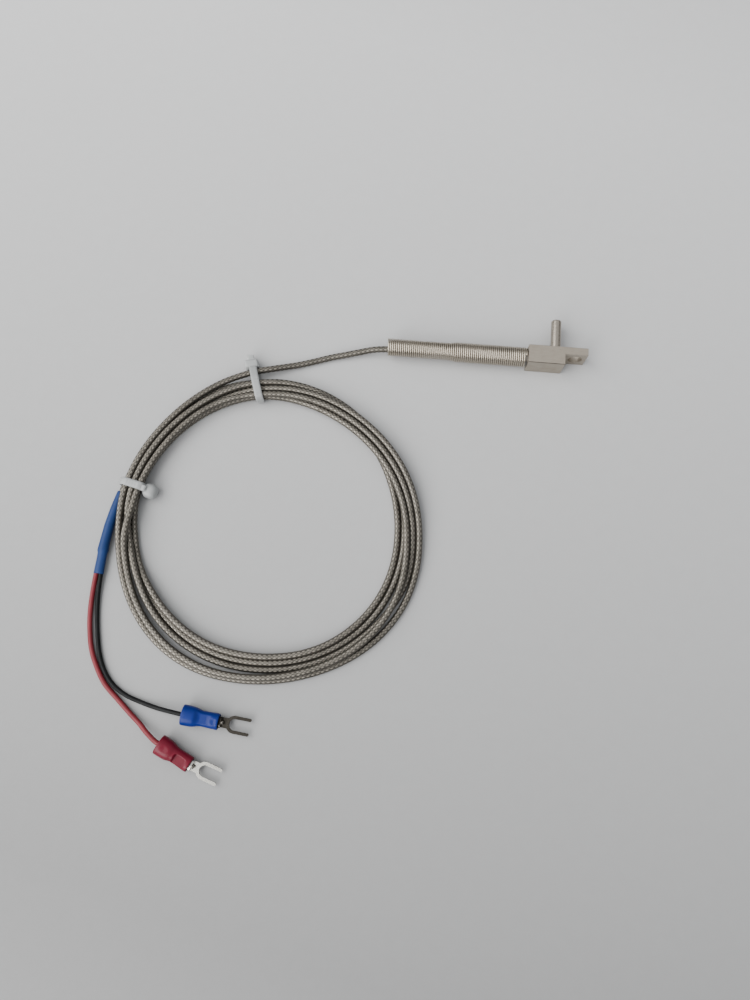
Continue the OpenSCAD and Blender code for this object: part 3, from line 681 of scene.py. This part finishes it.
# The braid's crevice colour and its dimmer crossings are painted shade; the stain is real
# tarnish.
braid = finish("steel_braid", BRAIDED, {
    "Crown": (0.27, 0.25, 0.216), "Gap": (0.035, 0.032, 0.028), "Tarnish": (0.09, 0.083, 0.071),
    "Depth": 0.00009}, 0.95)
nylon = finish("natural_nylon", MOULDED, {
    "Colour": (0.44, 0.455, 0.455), "Cloud": (0.48, 0.495, 0.495), "Smoothest": 0.28,
    "Roughest": 0.38, "Scuffs": 0.0, "Depth": 0.000004}, 0.0,
    Transmission_Weight=0.4, IOR=1.4)
shrink_plastic = finish("blue_polyolefin", MOULDED, {
    "Colour": (0.006, 0.025, 0.10), "Cloud": (0.009, 0.032, 0.12), "Smoothest": 0.42,
    "Roughest": 0.55, "Scuffs": 0.1, "Depth": 0.00003}, 0.0, Specular_IOR_Level=0.2)
red_plastic = finish("red_insulation", MOULDED, {
    "Colour": (0.135, 0.012, 0.018), "Cloud": (0.17, 0.018, 0.025), "Smoothest": 0.36,
    "Roughest": 0.5, "Scuffs": 0.2, "Depth": 0.00002}, 0.0, Specular_IOR_Level=0.28)
black_plastic = finish("black_insulation", MOULDED, {
    "Colour": (0.004, 0.0043, 0.0045), "Cloud": (0.009, 0.0094, 0.01), "Smoothest": 0.42,
    "Roughest": 0.55, "Scuffs": 0.3, "Depth": 0.00003}, 0.0, Specular_IOR_Level=0.12)
red_vinyl = finish("red_vinyl", MOULDED, {
    "Colour": (0.098, 0.003, 0.012), "Cloud": (0.12, 0.0045, 0.017), "Smoothest": 0.3,
    "Roughest": 0.42, "Scuffs": 0.1, "Depth": 0.00003}, 0.0, Specular_IOR_Level=0.22)
blue_vinyl = finish("blue_vinyl", MOULDED, {
    "Colour": (0.001, 0.012, 0.122), "Cloud": (0.002, 0.016, 0.145), "Smoothest": 0.3,
    "Roughest": 0.42, "Scuffs": 0.1, "Depth": 0.00003}, 0.0, Specular_IOR_Level=0.2)
cement = finish("ceramic_cement", MOULDED, {
    "Colour": (0.55, 0.52, 0.46), "Cloud": (0.68, 0.65, 0.6), "Smoothest": 0.75,
    "Roughest": 0.95, "Scuffs": 0.8, "Depth": 0.0001}, 0.0)
alumina = finish("alumina", MOULDED, {
    "Colour": (0.78, 0.74, 0.64), "Cloud": (0.85, 0.82, 0.75), "Smoothest": 0.5,
    "Roughest": 0.7, "Scuffs": 0.2, "Depth": 0.00003}, 0.0)
glass_fibre = finish("glass_fibre", MOULDED, {
    "Colour": (0.72, 0.7, 0.62), "Cloud": (0.85, 0.84, 0.8), "Smoothest": 0.6,
    "Roughest": 0.8, "Scuffs": 0.9, "Depth": 0.0001}, 0.0)


# ---- the cable ----

def braid_ripple(turn, along):
    cross = np.cos(2 * np.pi * along / BRAID_PITCH) + np.cos(BRAID_ROUND * turn)
    return 0.07 * np.abs(cross / 2) ** 0.7 - 0.04


cable_line = resample(CABLE_ROUTE, BRAID_PITCH / 5)
bm = bmesh.new()
tube(bm, cable_line, CABLE_D, 3 * BRAID_ROUND, ripple=braid_ripple)
cable = piece("braided_cable", bm, braid,
              ["cable_in_spring", "cable_run", "cable_coil", "cable_end"])

# ---- the heat-shrink sleeve and the two leads ----

# Where the sleeve steps down from the cable's end onto the two leads, along its line
LAST = len(sleeve_line) - 1
STEP_AT = LAST - 13.5
SHRINK_STATIONS = [
    (3, 1.04, 1.04), (0.6, 1.04, 1.04), (0.0, 1.12, 1.12), (0.0, 1.28, 1.28), (0.5, 1.36, 1.36),
    (4, 1.4, 1.4), (12, 1.46, 1.42), (22, 1.5, 1.45), (STEP_AT - 5, 1.55, 1.5),
    (STEP_AT - 1.8, 1.66, 1.53), (STEP_AT - 0.5, 1.66, 1.48), (STEP_AT + 0.3, 1.52, 1.28),
    (STEP_AT + 1.2, 1.43, 1.12), (STEP_AT + 4, 1.43, 1.06), (LAST - 1.5, 1.5, 1.05),
    (LAST, 1.52, 1.05), (LAST, 1.42, 0.95), (LAST - 0.6, 1.36, 0.85), (LAST - 4, 1.36, 0.85),
    (STEP_AT + 3, 1.36, 0.85), (STEP_AT - 2, 1.38, 1.0)]
SHRINK_STATIONS += [(index, 1.14, 1.1) for index in range(int(STEP_AT) - 5, 5, -5)]
SHRINK_STATIONS.append(SHRINK_STATIONS[0])
bm = bmesh.new()
oval_tube(bm, sleeve_line, SHRINK_STATIONS, 40)
shrink = piece("heat_shrink_sleeve", bm, shrink_plastic, ["heat_shrink"])

red_line = resample(RED_ROUTE, 0.6)
bm = bmesh.new()
tube(bm, red_line, RED_D, 20)
red_lead = piece("red_lead", bm, red_plastic, ["lead_red"])
black_line = resample(BLACK_ROUTE, 0.6)
bm = bmesh.new()
tube(bm, black_line, BLACK_D, 20)
black_lead = piece("black_lead", bm, black_plastic, ["lead_black"])


# ---- terminals ----

SLEEVE_PROFILE = [
    (5.0, 1.15), (2.2, 1.2), (0.9, 2.2), (0.25, 2.68), (0.0, 2.78), (0.03, 2.88), (0.3, 2.94),
    (1.5, 2.93), (3.2, 2.82), (4.2, 2.62), (5.0, 2.36), (5.8, 2.23), (7.0, 2.24), (8.5, 2.3),
    (10.2, 2.33), (10.6, 2.29), (10.78, 2.18), (10.75, 2.05), (10.3, 1.9), (7.0, 1.8),
    (5.2, 1.75), (5.0, 1.45), (5.0, 1.15)]
SLEEVE_HIGH = 0.84
INNER_WALL_R = 1.95
INNER_WALL_T = 0.3
BARREL_END = 11.6
BARREL_PRESSED = 0.55


def eased(value):
    value = min(1.0, max(0.0, value))
    return value * value * (3 - 2 * value)


def dented(spot, middle, half, floor, edge):
    """Presses a boxy pocket with round corners into the top of a sleeve."""
    u = abs(spot.x - middle[0]) / half[0]
    v = abs(spot.y - middle[1]) / half[1]
    inside = eased((1 + edge / 2 - (u ** 5 + v ** 5) ** 0.2) / edge)
    if spot.z > floor:
        spot.z += (floor - spot.z) * inside


def terminal_sleeve(which, material, dents):
    bm = bmesh.new()
    fine = resample([(x, 0, r) for x, r in SLEEVE_PROFILE], 0.17)
    verts = lathe(bm, [(x, r) for x, _, r in fine], 96)
    for v in verts:
        v.co.z *= SLEEVE_HIGH
        inner = math.hypot(v.co.y, v.co.z / SLEEVE_HIGH) <= INNER_WALL_R
        for middle, half, floor, edge in dents:
            dented(v.co, middle, half, floor - INNER_WALL_T * inner, edge)
    place_terminal(bm, verts, which)
    return piece(f"{which}_terminal_sleeve", bm, material, [f"sleeve_{which}"])


def terminal_fork(which, material):
    """The fork with its barrel's crown pressed flat by the crimp."""
    bm = solid_copy(f"fork_{which}", 0.12, 2)
    spot = TERMINALS[which]
    c, s = math.cos(math.radians(spot["turn"])), math.sin(math.radians(spot["turn"]))
    for v in bm.verts:
        along = (v.co.x - spot["place"][0]) * c + (v.co.y - spot["place"][1]) * s
        up = v.co.z - TABLE_Z - TERMINAL_Z
        if up > 0 and along < BARREL_END:
            v.co.z -= up * BARREL_PRESSED
    made = piece(f"{which}_fork", bm, material, [f"fork_{which}"])
    made.modifiers.new("even_shading", "WEIGHTED_NORMAL")
    return made


def conductor(which):
    """Seven strands with a slight lay, from the insulation to just past the barrel."""
    bm = bmesh.new()
    for k in range(7):
        line = []
        for along in np.linspace(4.3, 12.1, 20):
            spin = math.radians(60 * k + 28 * along)
            out = 0 if k == 6 else 0.36
            line.append(on_terminal(which, along, out * math.cos(spin), out * math.sin(spin)))
        tube(bm, line, 0.35, 8)
    return piece(f"{which}_conductor", bm, tinned_strand, [f"conductor_{which}"])


red_sleeve = terminal_sleeve("red", red_vinyl, [
    ((7.6, -0.7), (1.85, 1.45), 0.74, 0.1), ((3.2, 0.2), (1.4, 1.6), 2.28, 1.2)])
blue_sleeve = terminal_sleeve("blue", blue_vinyl, [
    ((6.4, 0.0), (1.9, 1.9), 1.5, 1.1), ((9.0, -0.3), (0.9, 0.9), 1.72, 0.8)])
red_strands = conductor("red")
blue_strands = conductor("blue")
red_fork = terminal_fork("red", tin_bright)
blue_fork = terminal_fork("blue", tin_dull)


# ---- spring, block and pin ----

SPRING_WIRE = 0.56
SPRING_PITCH = 0.642
SPRING_NARROW_D = 5.6
SPRING_WIDE_D = 6.3
SPRING_STEP_X = -37.9
BLOCK_EDGE = 0.16


def spring_radius(x):
    narrow, wide = (SPRING_NARROW_D - SPRING_WIRE) / 2, (SPRING_WIDE_D - SPRING_WIRE) / 2
    return narrow + (wide - narrow) * min(1, max(0, (x - SPRING_STEP_X + 2) / 2))


def wound_spring():
    """A close-wound helix whose turns stand out unevenly by a few hundredths."""
    steps = 32
    start, stop = MOUTH_X + SPRING_WIRE / 2, SPRING_HIGH[0] - SPRING_WIRE / 2
    turns = (stop - start) / SPRING_PITCH
    count = int(turns * steps)
    line = []
    for k in range(count + 1):
        t = k / steps
        x = start + t * SPRING_PITCH
        wander = 0.06 * math.sin(t * 1.7) + 0.05 * math.sin(t * 0.61 + 1)
        radius = spring_radius(x) + 0.25 * wander
        turn = 2 * math.pi * t
        line.append((x, AXIS_Y + radius * math.cos(turn), radius * math.sin(turn)))
    line = np.array(line)
    ahead = np.gradient(line, axis=0)
    ahead /= np.linalg.norm(ahead, axis=1)[:, None]
    out = line - np.c_[line[:, 0], np.full(len(line), AXIS_Y), np.zeros(len(line))]
    out -= (out * ahead).sum(axis=1)[:, None] * ahead
    out /= np.linalg.norm(out, axis=1)[:, None]
    over = np.cross(ahead, out)
    sides = 8
    turn = (np.arange(sides) + 0.5) * 2 * np.pi / sides
    rings = (line[:, None, :] + SPRING_WIRE / 2 * (
        np.cos(turn)[None, :, None] * out[:, None, :]
        + np.sin(turn)[None, :, None] * over[:, None, :]))
    along = np.r_[0, np.cumsum(np.linalg.norm(np.diff(line, axis=0), axis=1))]
    bm = bmesh.new()
    wrapped(bm, rings, along)
    return piece("strain_relief_spring", bm, spring_metal, ["armour_spring"])


spring = wound_spring()
block = piece("clamp_block", solid_copy("mounting_block", BLOCK_EDGE, 3), block_metal,
              ["mounting_block"])
block.modifiers.new("even_shading", "WEIGHTED_NORMAL")
# The rounding between the block's top and its long outer face is painted dark: painted shade
# along that edge
block.data.materials.append(edge_painted_shade)
EDGE_LIMIT_Y = (BLOCK_LOW[1] + 0.4) * MM
for face in block.data.polygons:
    if face.normal.y < -0.3 and face.normal.z > 0.3 and face.center.y < EDGE_LIMIT_Y:
        face.material_index = 1


# ---- cable ties ----

TIE_STEP = 0.3
TIE_RIB = 0.12


def loop_line(corners, radius):
    """A closed outline with round corners, in (across, up), as a list of points."""
    steps = 6
    points = []
    count = len(corners)
    for k in range(count):
        before = Vector(corners[k - 1])
        here = Vector(corners[k])
        after = Vector(corners[(k + 1) % count])
        first = here + (before - here).normalized() * radius
        last = here + (after - here).normalized() * radius
        for s in range(steps + 1):
            t = s / steps
            points.append(tuple((1 - t) ** 2 * first + 2 * t * (1 - t) * here + t ** 2 * last))
    return points + points[:1]


def tie_place(angle, skew, across, along, up):
    """A point of a tie: across is the radius from the coil's centre, along is beside it."""
    a = math.radians(angle)
    out = Vector((math.cos(a), math.sin(a)))
    beside = Vector((-out.y, out.x))
    spot = out * across + beside * (along + (across - 45) * math.tan(math.radians(skew)))
    return (COIL_CENTRE[0] + spot.x, COIL_CENTRE[1] + spot.y, TABLE_Z + up)


def cable_tie(name, angle, skew, corners, radius, head, stub, node):
    """A strap round the bundle, its ratchet head, and the cut end that stands out of it."""
    bm = bmesh.new()
    outline = loop_line(corners, radius)
    fine = resample([(x, y, 0) for x, y in outline], TIE_STEP)[:, :2]
    fine[-1] = fine[0]
    ahead = np.gradient(fine, axis=0)
    ahead[0] = ahead[-1] = fine[1] - fine[-2]
    ahead /= np.linalg.norm(ahead, axis=1)[:, None]
    normal = np.stack([ahead[:, 1], -ahead[:, 0]], axis=1)
    half_w, t = STRAP_W / 2, STRAP_T
    section = [(-half_w, 0.2), (-half_w + 0.2, 0), (half_w - 0.2, 0), (half_w, 0.2),
               (half_w, t - 0.25), (half_w - 0.3, t), (0.5, t), (-0.5, t),
               (-half_w + 0.3, t), (-half_w, t - 0.25)]
    rings = []
    outer = (5, 6, 7, 8)
    for number, (point, out) in enumerate(zip(fine, normal)):
        rib = TIE_RIB if number % 3 == 1 and number < len(fine) - 2 else 0.0
        ring = []
        for k, (side, thick) in enumerate(section):
            place = point + out * (thick - (rib if k in outer else 0.0))
            ring.append(tie_place(angle, skew, place[0], side, place[1]))
        rings.append(ring)
    along = np.arange(len(rings)) * TIE_STEP
    wrapped(bm, np.array(rings), along, caps=False)
    for centre, size, edge in (head, stub):
        before = set(bm.verts)
        made = bmesh.ops.create_cube(bm, size=1)["verts"]
        bmesh.ops.scale(bm, vec=size, verts=made)
        taper = [v for v in made if v.co.z > 0]
        bmesh.ops.scale(bm, vec=(0.9, 0.9, 1), verts=taper)
        edges = list({e for v in made for e in v.link_edges})
        bmesh.ops.bevel(bm, geom=edges, offset=edge, segments=6, profile=0.5,
                        affect="EDGES", clamp_overlap=True, material=-1)
        for v in [v for v in bm.verts if v not in before]:
            v.co = tie_place(angle, skew, centre[0] + v.co.x, centre[1] + v.co.y,
                             centre[2] + v.co.z)
    return piece(name, bm, nylon, [node])


def bundle_outline(angle, margin):
    """Lowest and highest places of the strands near an angle, with a margin."""
    near = []
    for x, y, z in coil_line:
        dx, dy = x - COIL_CENTRE[0], y - COIL_CENTRE[1]
        if abs((math.degrees(math.atan2(dy, dx)) - angle + 180) % 360 - 180) < 2:
            near.append((math.hypot(dx, dy), z))
    reach = CABLE_D / 2 + margin
    rs = [r for r, _ in near]
    zs = [z for _, z in near]
    return min(rs) - reach, max(rs) + reach, min(zs) - reach, max(zs) + reach


low_r, high_r, low_z, high_z = bundle_outline(TIE_TOP_ANGLE, 0.04)
tie_top = cable_tie(
    "upper_cable_tie", TIE_TOP_ANGLE, 7, [
        (low_r, low_z), (high_r, low_z), (high_r, low_z + 2.4), (high_r - 4.5, high_z),
        (low_r, high_z)],
    0.9, ((high_r + 1.4, 0.2, low_z + 1.3), (2.8, 4.5, 3.6), 0.5),
    ((high_r + 3.6, 0.1, low_z + 1.5), (2.6, 2.2, 1.0), 0.25), "cable_tie_top")
low_r, high_r, low_z, high_z = bundle_outline(TIE_LEFT_ANGLE, 0.04)
tie_left = cable_tie(
    "left_cable_tie", TIE_LEFT_ANGLE, 0, [
        (low_r, low_z), (high_r, low_z), (high_r, low_z + 2.2), (high_r - 1.4, high_z),
        (low_r, high_z)],
    0.9, ((low_r - 2.3, 0.3, low_z + 1.7), (4.6, 4.8, 4.0), 1.7),
    ((low_r - 0.6, 0.3, low_z + 4.0), (2.0, 2.0, 1.2), 0.4), "cable_tie_left")


# ---- inner pieces keep their CAD shape ----

for node, material in {
        "sensor_sheath": pin_metal, "stem_tube": shaded_tube_steel, "cable_ferrule": brass,
        "ceramic_insulator": alumina, "hot_junction": bead_metal, "tip_cement": cement,
        "block_potting": cement, "thermoelement_positive": iron_wire,
        "thermoelement_negative": copper_wire, "core_positive": glass_fibre,
        "core_negative": glass_fibre}.items():
    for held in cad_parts[node].material_slots:
        held.material = material


# ---- floor ----

def make_floor():
    bm = bmesh.new()
    bmesh.ops.create_grid(bm, x_segments=2, y_segments=2, size=1.5)
    bmesh.ops.translate(bm, verts=bm.verts, vec=(-0.08, -0.06, TABLE_Z * MM - 0.00002))
    mesh = bpy.data.meshes.new("floor")
    bm.to_mesh(mesh)
    bm.free()
    floor = bpy.data.objects.new("floor", mesh)
    bpy.context.scene.collection.objects.link(floor)
    paint = finish("pale_table", MOULDED, {
        "Colour": (0.56, 0.565, 0.57), "Cloud": (0.575, 0.58, 0.585), "Smoothest": 0.6,
        "Roughest": 0.75, "Scuffs": 0.0, "Depth": 0.00001})
    tree = paint.node_tree
    split = tree.nodes.new("ShaderNodeSeparateXYZ")
    tree.links.new(tree.nodes.new("ShaderNodeTexCoord").outputs["Object"], split.inputs[0])
    # The floor's colour darkens towards -Y and -X: painted shade standing in for the light
    # falling off across the table.
    away = calc(tree, "ADD", split.outputs[1], calc(tree, "MULTIPLY", split.outputs[0], 0.25))
    shade = spread(tree, away, -0.2, 0.1, 0.37, 1.0)
    colour = tree.nodes["Principled BSDF"].inputs["Base Color"]
    source = colour.links[0].from_socket
    tree.links.new(blend_colour(tree, shade, (0.0, 0.0, 0.0), source), colour)
    mesh.materials.append(paint)


make_floor()
